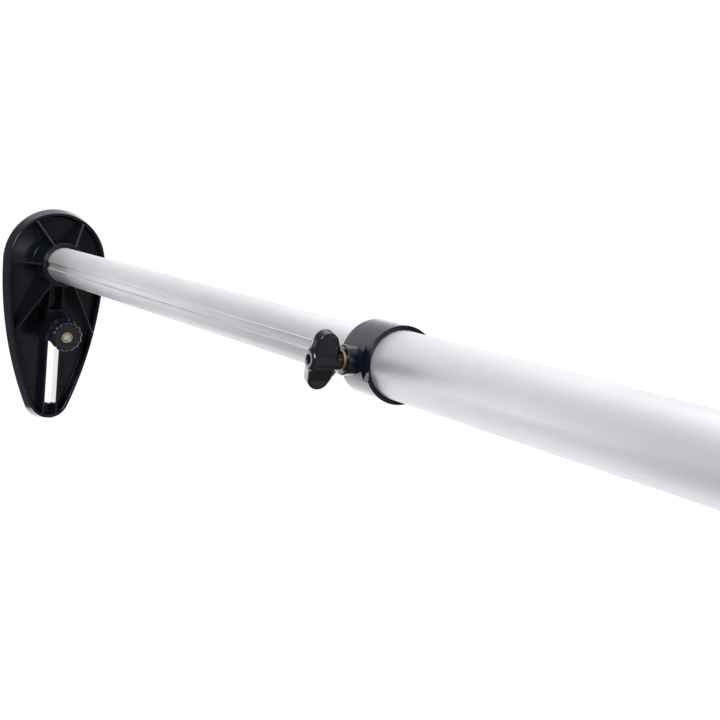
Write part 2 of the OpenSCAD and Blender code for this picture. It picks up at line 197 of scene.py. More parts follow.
def pulled(name, points, along):
    """A solid: a filled outline, extruded along a vector."""
    obj = ring_line(name, points, "NGON")
    with editing(obj):
        bpy.ops.mesh.select_all(action="SELECT")
        bpy.ops.mesh.extrude_region_move(
            TRANSFORM_OT_translate={"value": tuple(Vector(along) * MM)})
        face_outward()
    return obj


def slab(name, x, outline, depth):
    """A solid: an outline in (Y, Z) at a place along X, extruded along X."""
    return pulled(name, [(x, y, z) for y, z in outline], (depth, 0, 0))


def upright(half, low, high):
    """The corners of a rectangle that is centred sideways, anticlockwise from below."""
    return [(-half, low), (half, low), (half, high), (-half, high)]


def hexagon(name, radius, start, length):
    """A hexagonal prism along Z. The radius is to its corners."""
    return pulled(name, [(x, y, start) for x, y in arc((0, 0), radius, 0, 360, 6)], (0, 0, length))


def turned(name, profile, steps=96):
    """A solid of revolution about Z from (height, radius) points.

    The points run from pole to pole, or round a section that keeps clear of the axis.
    """
    obj = ring_line(name, [(radius, 0, height) for height, radius in profile])
    with editing(obj, "EDGE"):
        if profile[0][1] == 0 and profile[-1][1] == 0:
            pick(obj, "edges", lambda ends: all(abs(p.x) < 1e-6 for p in ends))
            bpy.ops.mesh.delete(type="EDGE")
        bpy.ops.mesh.select_all(action="SELECT")
        bpy.ops.mesh.spin(steps=steps, angle=FULL_TURN, center=(0, 0, 0), axis=(0, 0, 1))
        bpy.ops.mesh.select_all(action="SELECT")
        bpy.ops.mesh.remove_doubles(threshold=1e-6)
        face_outward()
    return obj


def rod(name, radius, start, end, steps=48):
    """A round rod along Z."""
    return turned(name, [(start, 0), (start, radius), (end, radius), (end, 0)], steps)


def rounded(corners, radius=0.5, steps=4):
    """A closed outline of 2D corners, rounded. A third number is a corner's own radius.

    A guard point beside each rounding keeps the straight parts flat under smooth shading.
    """
    out = []
    for i, corner in enumerate(corners):
        tip = Vector(corner[:2])
        own = corner[2] if len(corner) > 2 else radius
        back = Vector(corners[i - 1][:2]) - tip
        on = Vector(corners[(i + 1) % len(corners)][:2]) - tip
        half = back.angle(on) / 2
        if own == 0 or half > math.radians(89):
            out.append(tuple(tip))
            continue
        cut = min(own / math.tan(half), 0.49 * back.length, 0.49 * on.length)
        reach = cut / math.cos(half)
        centre = tip + (back.normalized() + on.normalized()).normalized() * reach
        first = tip + back.normalized() * cut - centre
        last = tip + on.normalized() * cut - centre
        sweep = first.angle(last)
        guard = 1.4 * cut
        if guard < 0.45 * back.length:
            out.append(tuple(tip + back.normalized() * guard))
        for k in range(steps + 1):
            t = k / steps
            arm = (first * math.sin((1 - t) * sweep) + last * math.sin(t * sweep)) / math.sin(sweep)
            out.append(tuple(centre + arm))
        if guard < 0.45 * on.length:
            out.append(tuple(tip + on.normalized() * guard))
    return out


def modified(obj, kind, **settings):
    """Adds a modifier with its settings and applies it."""
    only(obj)
    modifier = obj.modifiers.new(kind.title(), kind)
    for key, value in settings.items():
        setattr(modifier, key, value)
    bpy.ops.object.modifier_apply(modifier=modifier.name)
    return obj


def softened(obj, width, segments=3, angle=30):
    """Rounds every edge that is sharper than an angle."""
    return modified(obj, "BEVEL", width=width * MM, segments=segments, limit_method="ANGLE",
                    angle_limit=math.radians(angle), use_clamp_overlap=True)


def carved(obj, tool, operation="DIFFERENCE"):
    """Cuts a tool out of a piece, or joins the two in another way. The tool is used up."""
    modified(obj, "BOOLEAN", object=tool, operation=operation, solver="MANIFOLD")
    bpy.data.meshes.remove(tool.data)
    return obj


def welded(obj, *others):
    """Joins other solids onto a piece."""
    for other in others:
        carved(obj, other, "UNION")
    return obj


def placed(obj, matrix):
    """Moves a piece's mesh to its place. The object itself stays at the origin."""
    obj.matrix_world = matrix
    only(obj)
    bpy.ops.object.transform_apply(location=True, rotation=True, scale=True)
    return obj


def finished(obj, body, material, nodes=(), angle=32, weighted=False):
    """Shades a piece, gives it its material, hangs it on its body and hides the CAD nodes that it
    stands for.
    """
    only(obj)
    bpy.ops.object.shade_smooth_by_angle(angle=math.radians(angle))
    if weighted:
        modified(obj, "WEIGHTED_NORMAL", keep_sharp=True)
    obj.data.materials.clear()
    obj.data.materials.append(material)
    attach(obj, body)
    if nodes:
        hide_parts(*nodes)
    return obj


def copied(obj, name):
    """A copy of a piece with its own mesh."""
    twin = obj.copy()
    twin.data = obj.data.copy()
    twin.name = twin.data.name = name
    bpy.context.scene.collection.objects.link(twin)
    return twin


def at_near_end(obj):
    """Turns a piece that is modelled at the far end into its mirror image at the near end."""
    to_near_end = Matrix.Translation((TOTAL_LEN * MM, 0, 0)) @ Matrix.Diagonal((-1, 1, 1, 1))
    obj.data.transform(to_near_end)
    with editing(obj):
        face_outward()
    return obj


def along_x(x):
    """Stands a piece that is turned about Z on the tubes' axis."""
    return Matrix.Translation((x * MM, 0, 0)) @ Matrix.Rotation(math.radians(90), 4, "Y")


def bolt_place():
    """The stop bolt's frame: its seat, with Z along the bolt to the knob."""
    seat = Matrix.Translation((SEAT_X * MM, 0, SLIDER_Z * MM))
    return seat @ Matrix.Rotation(math.radians(90 + BOLT_LEAN), 4, "Y")


def clamp_place():
    """The clamp screw's frame: the tubes' axis, with Z out along the screw."""
    return Matrix.Translation((CLAMP_X * MM, 0, 0)) @ Matrix.Rotation(math.radians(90), 4, "X")


def arc(centre, radius, start, end, count):
    """Points on an arc, its end left out."""
    out = []
    for i in range(count):
        a = math.radians(start + (end - start) * i / count)
        out.append((centre[0] + radius * math.cos(a), centre[1] + radius * math.sin(a)))
    return out


def egg(inset=0.0):
    """The plate's outline in (Y, Z), drawn in by inset, anticlockwise from its right side."""
    tip = math.degrees(SIDE_ANGLE)
    foot = EGG_RISE - EGG_SPAN
    return (arc((0, EGG_RISE), BIG_R - inset, 0, 180, TOP_STEPS)
            + arc((SIDE_SHIFT, EGG_RISE), SIDE_R - inset, 180, 180 + tip, SIDE_STEPS)
            + arc((0, foot), SMALL_R - inset, 180 + tip, 360 - tip, FOOT_STEPS)
            + arc((-SIDE_SHIFT, EGG_RISE), SIDE_R - inset, -tip, 0, SIDE_STEPS))


def rib_reach(angle):
    """How far a rib runs from the tubes' axis to the top of the rim."""
    a = math.radians(angle)
    down = math.sin(a) < -SLACK
    shift = SIDE_SHIFT if down else 0
    radius = (SIDE_R if down else BIG_R) - RIM_INSET
    b = shift * abs(math.cos(a)) - EGG_RISE * math.sin(a)
    return -b + math.sqrt(b * b - shift ** 2 - EGG_RISE ** 2 + radius ** 2)


# Materials

def new_group(name, inputs, outputs):
    """An empty shader node group with named sockets."""
    group = bpy.data.node_groups.new(name, "ShaderNodeTree")
    for label, kind, value in inputs:
        entry = group.interface.new_socket(label, in_out="INPUT", socket_type=kind)
        if value is not None:
            entry.default_value = value
    for label, kind in outputs:
        group.interface.new_socket(label, in_out="OUTPUT", socket_type=kind)
    return group, group.nodes.new("NodeGroupInput"), group.nodes.new("NodeGroupOutput")


def add_node(tree, kind, inputs=None, **settings):
    """A node with its settings. An input is a value or another node's output."""
    node = tree.nodes.new("ShaderNode" + kind)
    for key, value in settings.items():
        setattr(node, key, value)
    for key, value in (inputs or {}).items():
        if isinstance(value, bpy.types.NodeSocket):
            tree.links.new(value, node.inputs[key])
        else:
            node.inputs[key].default_value = value
    return node


def moulded_skin_group():
    """Fine spark-eroded grain, faint flow marks and rubbed patches of a moulded surface."""
    group, given, out = new_group(
        "moulded skin",
        [("Vector", "NodeSocketVector", None), ("Grain Size", "NodeSocketFloat", 2400.0),
         ("Flow Size", "NodeSocketFloat", 28.0), ("Rub Size", "NodeSocketFloat", 70.0)],
        [("Grain", "NodeSocketFloat"), ("Flow", "NodeSocketFloat"), ("Rub", "NodeSocketFloat")])
    place = given.outputs["Vector"]
    grain = add_node(group, "TexNoise", {
        "Vector": place, "Scale": given.outputs["Grain Size"], "Detail": 3.0})
    flow = add_node(group, "TexNoise", {
        "Vector": place, "Detail": 4.0, "Scale": given.outputs["Flow Size"], "Distortion": 0.8})
    rub = add_node(group, "TexNoise", {
        "Vector": place, "Detail": 6.0, "Scale": given.outputs["Rub Size"], "Roughness": 0.7})
    worn = add_node(group, "MapRange", {
        "Value": rub.outputs["Fac"], "From Min": 0.52, "From Max": 0.72})
    group.links.new(grain.outputs["Fac"], out.inputs["Grain"])
    group.links.new(flow.outputs["Fac"], out.inputs["Flow"])
    group.links.new(worn.outputs["Result"], out.inputs["Rub"])
    return group


def drawn_metal_group():
    """Fine lines that are stretched along one way, and a slow mottle."""
    group, given, out = new_group(
        "drawn metal",
        [("Vector", "NodeSocketVector", None),
         ("Stretch", "NodeSocketVector", (6.0, 1500.0, 1500.0)),
         ("Mottle Size", "NodeSocketFloat", 18.0)],
        [("Lines", "NodeSocketFloat"), ("Mottle", "NodeSocketFloat")])
    place = given.outputs["Vector"]
    drawn_out = add_node(group, "VectorMath", {0: place, 1: given.outputs["Stretch"]},
                         operation="MULTIPLY")
    lines = add_node(group, "TexNoise", {
        "Vector": drawn_out.outputs["Vector"], "Scale": 1.0, "Detail": 4.0, "Roughness": 0.6})
    mottle = add_node(group, "TexNoise", {
        "Vector": place, "Scale": given.outputs["Mottle Size"], "Detail": 3.0})
    group.links.new(lines.outputs["Fac"], out.inputs["Lines"])
    group.links.new(mottle.outputs["Fac"], out.inputs["Mottle"])
    return group


MOULDED = moulded_skin_group()
DRAWN = drawn_metal_group()


def new_material(name):
    """A node material: itself, its node tree and its shader."""
    material = bpy.data.materials.new(name)
    material.use_nodes = True
    return material, material.node_tree, material.node_tree.nodes["Principled BSDF"]


def spread(tree, value, low, high):
    """Maps a texture's middle range onto low to high."""
    return add_node(tree, "MapRange", {"Value": value, "From Min": 0.3, "From Max": 0.7,
                                       "To Min": low, "To Max": high}).outputs["Result"]


def mixed(tree, factor, first, second):
    """A colour that a factor mixes from two."""
    mix = add_node(tree, "Mix", {"Factor": factor}, data_type="RGBA")
    mix.inputs["A"].default_value = (*first, 1)
    mix.inputs["B"].default_value = (*second, 1)
    return mix.outputs["Result"]


def moulded(name, dark, light, gloss, grain_depth, grain_size=2400.0, specular=0.5):
    """Moulded plastic or rubber: two tones, a range of roughness and a grain."""
    material, tree, shader = new_material(name)
    place = add_node(tree, "TexCoord").outputs["Object"]
    skin = add_node(tree, "Group", node_tree=MOULDED)
    tree.links.new(place, skin.inputs["Vector"])
    skin.inputs["Grain Size"].default_value = grain_size
    tone = mixed(tree, spread(tree, skin.outputs["Flow"], 0.0, 1.0), dark, light)
    tree.links.new(tone, shader.inputs["Base Color"])
    sheen = add_node(tree, "MapRange", {
        "Value": skin.outputs["Rub"], "To Min": gloss[0], "To Max": gloss[1]})
    tree.links.new(sheen.outputs["Result"], shader.inputs["Roughness"])
    bump = add_node(tree, "Bump", {
        "Height": skin.outputs["Grain"], "Strength": 0.35, "Distance": grain_depth * MM})
    tree.links.new(bump.outputs["Normal"], shader.inputs["Normal"])
    shader.inputs["Specular IOR Level"].default_value = specular
    return material


def metal(name, first, second, gloss, stretch, line_depth, mottle_size=18.0, metallic=1.0):
    """Bare, plated or anodised metal with fine lines along one way."""
    material, tree, shader = new_material(name)
    place = add_node(tree, "TexCoord").outputs["Object"]
    drawn = add_node(tree, "Group", node_tree=DRAWN)
    tree.links.new(place, drawn.inputs["Vector"])
    drawn.inputs["Stretch"].default_value = stretch
    drawn.inputs["Mottle Size"].default_value = mottle_size
    tone = mixed(tree, spread(tree, drawn.outputs["Mottle"], 0.0, 1.0), first, second)
    tree.links.new(tone, shader.inputs["Base Color"])
    tree.links.new(spread(tree, drawn.outputs["Lines"], *gloss), shader.inputs["Roughness"])
    bump = add_node(tree, "Bump", {
        "Height": drawn.outputs["Lines"], "Strength": 0.25, "Distance": line_depth * MM})
    tree.links.new(bump.outputs["Normal"], shader.inputs["Normal"])
    shader.inputs["Metallic"].default_value = metallic
    return material


LONG_LINES = (6.0, 1500.0, 1500.0)
FINE_GRAIN = (900.0, 900.0, 900.0)

BLACK = moulded("black nylon", (0.0070, 0.0092, 0.0165), (0.0105, 0.0130, 0.0215),
                gloss=(0.16, 0.23), grain_depth=0.012)
KNOB_BLACK = moulded("black knob plastic", (0.0115, 0.0125, 0.018), (0.015, 0.016, 0.022),
                     gloss=(0.16, 0.24), grain_depth=0.01)
RUBBER = moulded("facing rubber", (0.036, 0.036, 0.038), (0.055, 0.055, 0.058),
                 gloss=(0.75, 0.9), grain_depth=0.12, grain_size=1300.0, specular=0.3)
TUBE_METAL = metal("anodised aluminium", (0.74, 0.74, 0.76), (0.79, 0.79, 0.81),
                   gloss=(0.50, 0.60), stretch=LONG_LINES, line_depth=0.004, metallic=0.6)
ZINC = metal("bright zinc", (0.80, 0.85, 0.90), (0.90, 0.94, 0.97), gloss=(0.30, 0.46),
             stretch=FINE_GRAIN, line_depth=0.01, mottle_size=160.0, metallic=0.6)
BRASS = metal("turned brass", (0.80, 0.53, 0.24), (0.90, 0.66, 0.36), gloss=(0.28, 0.42),
              stretch=FINE_GRAIN, line_depth=0.01, mottle_size=200.0, metallic=0.8)


# Plates

def tray(name):
    """The plate's floor and leaning rim, drawn up from its back outline by insets."""
    obj = ring_line(name, [(PLATE_X, y, z) for y, z in egg()], "NGON")

    def on_the_back(ends):
        return all(abs(p.x - PLATE_X) < SLACK for p in ends)

    with editing(obj):
        face_outward()
        mesh = bmesh.from_edit_mesh(obj.data)
        mesh.faces.ensure_lookup_table()
        if mesh.faces[0].normal.x < 0:
            bpy.ops.mesh.flip_normals()
        for thickness, depth in RIM_CLIMB:
            bpy.ops.mesh.inset(thickness=thickness * MM, depth=depth * MM)
        bpy.ops.mesh.select_mode(type="EDGE")
        pick(obj, "edges", on_the_back)
        bpy.ops.mesh.edge_face_add()
        pick(obj, "edges", on_the_back)
        bpy.ops.mesh.bevel(offset=0.7 * MM, segments=3)
        face_outward()
    return obj


def slot_tool():
    """The cutter of the slot, with a small nib in its foot."""
    nib_half, nib_h = 1.1, 0.9
    outline = [(-SLOT_HALF, SLOT_TOP, 0.3), (-SLOT_HALF, SLOT_BOTTOM, 1.4),
               (-nib_half, SLOT_BOTTOM, 0), (0, SLOT_BOTTOM + nib_h, 0), (nib_half, SLOT_BOTTOM, 0),
               (SLOT_HALF, SLOT_BOTTOM, 1.4), (SLOT_HALF, SLOT_TOP, 0.3)]
    return slab("slot tool", PLATE_X - PAST, rounded(outline), 5)


def rib(angle, socket_r):
    """A rib from the socket's mouth to the rim, with a softened top."""
    reach = rib_reach(angle)
    mouth_x = SOCKET_X - 0.5
    shape = rounded([(ROOT_X, socket_r - 1.6, 0), (mouth_x, socket_r - 1.6, 0),
                     (mouth_x, socket_r + 0.1, 0.4), (RIM_X + 2.4, reach - 2.4, 1.6),
                     (RIM_X - 0.1, reach - 0.7, 0.8), (ROOT_X, reach + 1.3, 0)])
    obj = pulled("rib", [(x, r, -RIB_T / 2) for x, r in shape], (0, 0, RIB_T))
    softened(obj, 0.4, 3, 60)
    return placed(obj, Matrix.Rotation(math.radians(angle), 4, "X"))


def slot_wall(side):
    """One of the two walls that carry the sliding block. It laps a little into the slot."""
    lap = 0.02
    shape = rounded([(ROOT_X, -16, 0), (WALL_TOP_X, -16, 0), (WALL_TOP_X, -123.3, 0.8),
                     (RIM_X, -124.3, 0.3), (ROOT_X, -126.4, 0)])
    start_y = SLOT_HALF - lap if side > 0 else -SLOT_HALF - SLOT_WALL_T
    obj = pulled("slot wall", [(x, start_y, z) for x, z in shape], (0, SLOT_WALL_T + lap, 0))
    return softened(obj, 0.3, 2, 60)


def socket(tube_r):
    """The ring that holds the tube's end, with a cove round its foot."""
    bore = tube_r + SOCKET_GAP
    cove_x, sunk_x = FLOOR_X - 0.1, FLOOR_X - 1
    section = [(sunk_x, bore, 0), (SOCKET_X, bore, 0.4), (SOCKET_X, bore + SOCKET_WALL, 0.6),
               (cove_x, bore + 3.9, 1.6), (cove_x, bore + 6, 0), (sunk_x, bore + 6, 0)]
    return placed(turned("socket", rounded(section)), along_x(0))


def ejector_mark(y, z, radius):
    """The faint raised disc that an ejector pin leaves on the floor."""
    section = [(-1, 0), (-1, radius), (0.12, radius), (0.2, radius - 0.3), (0.2, 0)]
    on_floor = Matrix.Translation((FLOOR_X * MM, y * MM, z * MM)) @ along_x(0)
    return placed(turned("ejector mark", section, 40), on_floor)


def plate(name, tube_r):
    """The tray with its ejector marks, slot, socket, ribs, slot walls and screw hole."""
    obj = tray(name)
    for y, z, radius in EJECTOR_MARKS:
        welded(obj, ejector_mark(y, z, radius))
    carved(obj, slot_tool())
    welded(obj, socket(tube_r))
    for angle in RIB_ANGLES:
        welded(obj, rib(angle, tube_r + SOCKET_REACH))
    welded(obj, slot_wall(1), slot_wall(-1))
    sunk_hole = [(-PAST, 0), (-PAST, 4.85), (0, 4.85), (2.6, 2.55), (5, 2.55), (5, 0)]
    return carved(obj, placed(turned("screw hole", sunk_hole, 48), along_x(PLATE_X)))


def pad(name):
    """The soft facing, with its window for the stop."""
    obj = slab(name, 0, egg(PAD_INSET), PLATE_X)
    window = [(-WINDOW_HALF, WINDOW_TOP, 1), (-WINDOW_HALF, SLOT_BOTTOM, 1),
              (WINDOW_HALF, SLOT_BOTTOM, 1), (WINDOW_HALF, WINDOW_TOP, 1)]
    carved(obj, slab("window tool", -PAST, rounded(window), 4))
    return softened(obj, 0.4, 2, 50)


# Stop, bolt, block, washer and knob of one end, modelled at the far end

def edge_stop(name):
    """The stop with its tongue, its hexagonal pocket and the bolt's hole."""
    middle = SLIDER_Z + (SEAT_X - PLATE_X + 3.5) * math.tan(math.radians(BOLT_LEAN))
    low, high = middle - STOP_HALF_H, middle + STOP_HALF_H
    face = rounded(upright(8, low, high), 3, 6)
    obj = softened(slab(name, -7, face, 8.7), 0.8, 3, 50)
    tongue = rounded(upright(TONGUE_HALF, low, SLIDER_Z + STOP_HALF_H))
    welded(obj, softened(slab("tongue", 1, tongue, 4), 0.3, 2, 50))
    pocket = hexagon("pocket", 5.95, -60, 60 + HEAD_TOP)
    hole = rod("hole", BOLT_HOLE_R, -30, 0)
    for tool in (pocket, hole):
        carved(obj, placed(tool, bolt_place()))
    return obj


def thread(start, end, radius, depth=0.45, pitch=1.0, crest=0.02):
    """The (height, radius) points of a thread's ridges."""
    out = []
    for i in range(int((end - start) / pitch)):
        out += [(start + i * pitch, radius - depth), (start + (i + 0.4) * pitch, radius - crest),
                (start + (i + 0.6) * pitch, radius - crest)]
    return out


def stop_bolt(name):
    """The hexagon bolt, threaded over its outer half, with a chamfered end."""
    head = hexagon(name, HEAD_R, HEAD_FOOT, 4)
    crown = turned("crown", [(HEAD_FOOT, 0), (HEAD_FOOT, 4.7), (-26.7, HEAD_R), (-23.3, HEAD_R),
                             (-23.3, 0)], 48)
    carved(head, crown, "INTERSECT")
    shank = turned("shank", [(-24, 0), (-24, BOLT_R), (0.5, BOLT_R)] + thread(1, 26, BOLT_R)
                   + [(26.1, 2.95), (26.65, 2.6), (26.65, 0)], 64)
    return placed(welded(head, shank), bolt_place())


def slider_block(name):
    """The block with its leaning round seat and its tongue between the slot's walls."""
    back = WALL_TOP_X + 0.3
    face = rounded(upright(8.55, SLIDER_Z - 13, SLIDER_Z + 13), 1.0, 3)
    obj = softened(slab(name, back, face, SEAT_X - back - 1.5), 0.5, 3, 50)
    seat_r = 11.4
    seat = turned("seat", [(-9, 0), (-9, seat_r), (-0.5, seat_r), (-0.15, 11.25), (0, 10.9),
                           (0, 0)], 128)
    placed(seat, bolt_place())
    sides = slab("seat sides", back + 0.2, upright(8.53, SLIDER_Z - 20, SLIDER_Z + 12.6), 20)
    carved(seat, sides, "INTERSECT")
    welded(obj, seat)
    tongue = rounded(upright(TONGUE_HALF, SLIDER_Z - STOP_HALF_H, SLIDER_Z + STOP_HALF_H), 0.5)
    welded(obj, slab("tongue", FLOOR_X + 0.3, tongue, 12))
    lid = pulled("lid", [(x, y, 0.03) for x, y in upright(30, -10, 10)], (0, 0, 20))
    hole = rod("hole", BOLT_HOLE_R, -30, 30)
    for tool in (lid, hole):
        carved(obj, placed(tool, bolt_place()))
    return obj


def washer(name):
    """The ring between the seat and the knob."""
    foot, top = 0.15, 1.35
    ring = [(foot, THREAD_BORE), (top, THREAD_BORE), (top, 7), (foot, 7)]
    return placed(turned(name, rounded(ring, 0.25, 3), 72), bolt_place())


def fluted_knob(name, flutes=14, depth=0.95, start=16.5, run_in=2.4):
    """The knob: a turned body whose head is drawn in between its lobes."""
    section = rounded([
        (KNOB_FOOT, BOLT_HOLE_R, 0), (KNOB_FOOT, NECK_R, 0.5), (9.6, NECK_R, 0.6),
        (12.65, 10.3, 0.8), (14.85, KNOB_R, 1.2), (GRIP_FOOT, KNOB_R, 0), (KNOB_TOP, KNOB_R, 2.3),
        (KNOB_TOP, 4.9, 0.2), (27.3, INSERT_R, 0), (INSERT_FOOT, INSERT_R, 0),
        (INSERT_FOOT, BOLT_HOLE_R, 0)])
    above = next(i for i, p in enumerate(section) if p[0] > GRIP_FOOT + 0.1)
    section[above:above] = [(GRIP_FOOT + 0.6 * i, KNOB_R) for i in range(1, 12)]
    obj = turned(name, section, flutes * 16)
    for vertex in obj.data.vertices:
        x, y, height = vertex.co / MM
        radius = math.hypot(x, y)
        if radius > 9.5 and height > start:
            lobe = (0.5 - 0.5 * math.cos(flutes * math.atan2(y, x))) ** 1.6
            rise = min(1, (height - start) / run_in)
            ease = rise * rise * (3 - 2 * rise)
            scale = 1 - depth * lobe * ease / KNOB_R
            vertex.co.x, vertex.co.y = vertex.co.x * scale, vertex.co.y * scale
    return placed(obj, bolt_place())


def knob_insert(name):
    """The brass bush in the fluted knob."""
    top = 27.45
    ring = [(INSERT_FOOT, THREAD_BORE, 0.1), (top, THREAD_BORE, 0.5), (top, INSERT_R, 0.45),
            (INSERT_FOOT, INSERT_R, 0.2)]
    return placed(turned(name, rounded(ring), 64), bolt_place())


# Tubes and clamp

def tube_skin(name, outline, x, length, wall):
    """A tube: its outline is drawn out along X, then given its wall and soft ends."""
    obj = ring_line(name, [(x, y, z) for y, z in outline])

    def at_an_end(ends):
        return max(p.x for p in ends) < x + SLACK or min(p.x for p in ends) > x + length - SLACK

    with editing(obj, "EDGE"):
        bpy.ops.mesh.select_all(action="SELECT")
        bpy.ops.mesh.extrude_region_move(TRANSFORM_OT_translate={"value": (length * MM, 0, 0)})
        face_outward()
    mid = obj.data.polygons[0]
    outward = mid.normal.y * mid.center.y + mid.normal.z * mid.center.z > 0
    modified(obj, "SOLIDIFY", thickness=wall * MM, offset=-1 if outward else 1,
             use_even_offset=True)
    with editing(obj):
        face_outward()
        bpy.ops.mesh.select_mode(type="EDGE")
        bpy.ops.mesh.select_all(action="DESELECT")
        pick(obj, "edges", at_an_end)
        bpy.ops.mesh.bevel(offset=0.2 * MM, segments=2)
    return obj


def grooved_outline():
    """The thin tube's outline in (Y, Z), with its groove on the -Y side."""
    half = math.degrees(math.asin(GROOVE_HALF / INNER_R))
    lip_y = -math.sqrt(INNER_R ** 2 - GROOVE_HALF ** 2)
    upper = [(lip_y, GROOVE_HALF, 0), (-13.82, 2.25, 0.45), (GROOVE_DEEP_Y, 2.15, 0.35)]
    lower = [(y, -z, own) for y, z, own in reversed(upper)]
    return arc((0, 0), INNER_R, -180 + half, 180 - half, 150)[1:] + rounded(upper + lower)


def collar(name):
    """The sleeve with its lip, boss and flat."""
    section = [(0, LIP_BORE, 0.3), (0, COLLAR_R, 1.1), (COLLAR_LEN, COLLAR_R, 0.45),
               (COLLAR_LEN, COLLAR_BORE, 0.35), (LIP_T, COLLAR_BORE, 0), (LIP_T, LIP_BORE, 0.3)]
    sleeve = turned(name, rounded(section), 144)
    placed(sleeve, along_x(COLLAR_X))
    boss = turned("boss", rounded([(16, 0, 0), (16, BOSS_R, 0), (BOSS_TOP, BOSS_R, 0.7),
                                   (BOSS_TOP, 0, 0)]), 96)
    placed(boss, clamp_place())
    carved(boss, placed(rod("bore", COLLAR_BORE, -PAST, 40, 144), along_x(OUTER_X)))
    welded(sleeve, boss)
    flat = [(-30, -FLAT_HALF), (FLAT_Y, -FLAT_HALF), (FLAT_Y, FLAT_HALF), (-30, FLAT_HALF)]
    carved(sleeve, slab("flat", FLAT_X, flat, 8))
    return carved(sleeve, placed(rod("hole", 4.55, 0, 40, 64), clamp_place()))


def boss_insert(name):
    """The brass bush in the boss, with its flange on top."""
    foot, top, body_r, flange_r = 16.05, 26.05, 4.5, 5.1
    ring = [(foot, THREAD_BORE, 0.1), (top, THREAD_BORE, 0.3), (top, flange_r, 0.3),
            (BOSS_TOP, flange_r, 0), (BOSS_TOP, body_r, 0), (foot, body_r, 0.2)]
    return placed(turned(name, rounded(ring), 64), clamp_place())


def clamp_screw(name):
    """The stud of the wing knob, with its thread and the blind hole for the foot's pin."""
    foot, pin_top, pin_r = 15.63, 18.78, 1.38
    profile = ([(pin_top, 0), (pin_top, pin_r), (foot, pin_r), (foot, 2.5)]
               + thread(16, 32, BOLT_R)
               + [(32.2, BOLT_R), (39.5, BOLT_R), (STUD_TOP, 2.9), (STUD_TOP, 0)])
    return placed(turned(name, profile, 64), clamp_place())


def wing_knob(name):
    """The two-winged knob. Its hub and wings are melted together, as in one moulding."""
    turn = Matrix.Rotation(math.radians(-WING_TURN), 4, "Z")
    hub = turned(name, rounded([(HUB_FOOT, 0, 0), (HUB_FOOT, 5.7, 0.6), (36, 5.8, 2),
                                (HUB_TOP, 5.6, 0.9), (HUB_TOP, 0, 0)]), 72)
    side = [(-10.5, -3.3, 0), (-3.5, -5.5, 3), (3.5, -5.5, 3), (10.5, -3.3, 0)]
    lens = rounded(side + [(-v, -u, own) for v, u, own in side])
    web = pulled("web", [(v, u, 30.6) for u, v in lens], (0, 0, 11.6))
    web.data.transform(turn)
    middle, bend, reach = 36.35, 5.9, 15.75
    wing = arc((reach - bend, middle), bend, -72, 90, 20) + [(reach - bend, middle + bend)]
    wing += [(5.2, middle + 6.4), (0, middle + 6.9), (-5.2, middle + 6.4)]
    wing += arc((bend - reach, middle), bend, 90, 252, 20)
    wing += [(-5.6, middle - 8.4), (0, middle - 9.2), (5.6, middle - 8.4)]
    blade = pulled("wings", [(0, u, v) for u, v in wing], (WING_T, 0, 0))
    blade.data.transform(Matrix.Translation((-WING_T / 2 * MM, 0, 0)))
    softened(blade, 1.3, 4, 50)
    blade.data.transform(turn)
    welded(hub, web, blade)
    modified(hub, "REMESH", mode="VOXEL", voxel_size=0.32 * MM)
    modified(hub, "SMOOTH", factor=0.5, iterations=20)
    hole = turned("hub hole", [(41.0, 0), (41.0, 2.15), (43.2, 2.3), (43.6, 2.7), (44.5, 2.7),
                               (44.5, 0)], 48)
    carved(hub, hole)
    carved(hub, rod("stud room", BOLT_R, 27, STUD_TOP))
    return placed(hub, clamp_place())


def build():
    """Models every piece that stands for a node, and hands it to its body."""
    far_plate = plate("far_plate_moulding", INNER_R)
    finished(far_plate, "far_end", BLACK, ["far_plate"], weighted=True)
    near_plate = at_near_end(plate("near_plate_moulding", OUTER_R))
    finished(near_plate, "near_end", BLACK, ["near_plate"], weighted=True)
    makers = [
        (pad, "pad", "end", "pad_rubber", RUBBER),
        (edge_stop, "edge_stop", "stop", "black_plastic", BLACK),
        (stop_bolt, "stop_bolt", "stop", "zinc_steel", ZINC),
        (slider_block, "slider_block", "stop", "black_plastic", BLACK),
        (washer, "washer", "washer", "black_plastic", BLACK),
        (fluted_knob, "knob", "knob", "knob_plastic", KNOB_BLACK),
        (knob_insert, "knob_insert", "knob", "brass", BRASS),
    ]
    flat_sided = ("pad", "edge_stop", "slider_block")
    for make, node, body, slot, material in makers:
        far = make("far_" + node + "_piece")
        near = at_near_end(copied(far, "near_" + node + "_piece"))
        for end, obj in (("far_", far), ("near_", near)):
            finished(obj, end + body, material, [end + node], weighted=node in flat_sided)
    finished(tube_skin("inner_tube_drawn", grooved_outline(), TUBE_X, TUBE_LEN, TUBE_WALL),
             "far_end", TUBE_METAL, ["inner_tube"])
    circle = arc((0, 0), OUTER_R, 0, 360, 180)
    finished(tube_skin("outer_tube_drawn", circle, OUTER_X, TUBE_LEN, TUBE_WALL),
             "near_end", TUBE_METAL, ["outer_tube"])
    finished(collar("collar_moulding"), "near_end", BLACK, ["collar"])
    finished(boss_insert("boss_insert_turned"), "near_end", BRASS, ["boss_insert"])
    finished(clamp_screw("clamp_stud"), "clamp_knob", ZINC, ["clamp_screw"])
    finished(wing_knob("wing_knob_moulding"), "clamp_knob", KNOB_BLACK,
             ["wing_knob"], angle=60)


def dress_cad_nodes():
    """The CAD solids that stay get the same finishes."""
    finishes = {"black_plastic": BLACK, "knob_plastic": KNOB_BLACK, "pad_rubber": RUBBER,
                "tube_aluminium": TUBE_METAL, "zinc_steel": ZINC, "brass": BRASS}
    slots = {part["node"]: part["material_slot"] for part in frame["record"]["subparts"]}
    for node, obj in frame["nodes"].items():
        obj.data.materials.clear()
        obj.data.materials.append(finishes[slots[node]])


# Studio

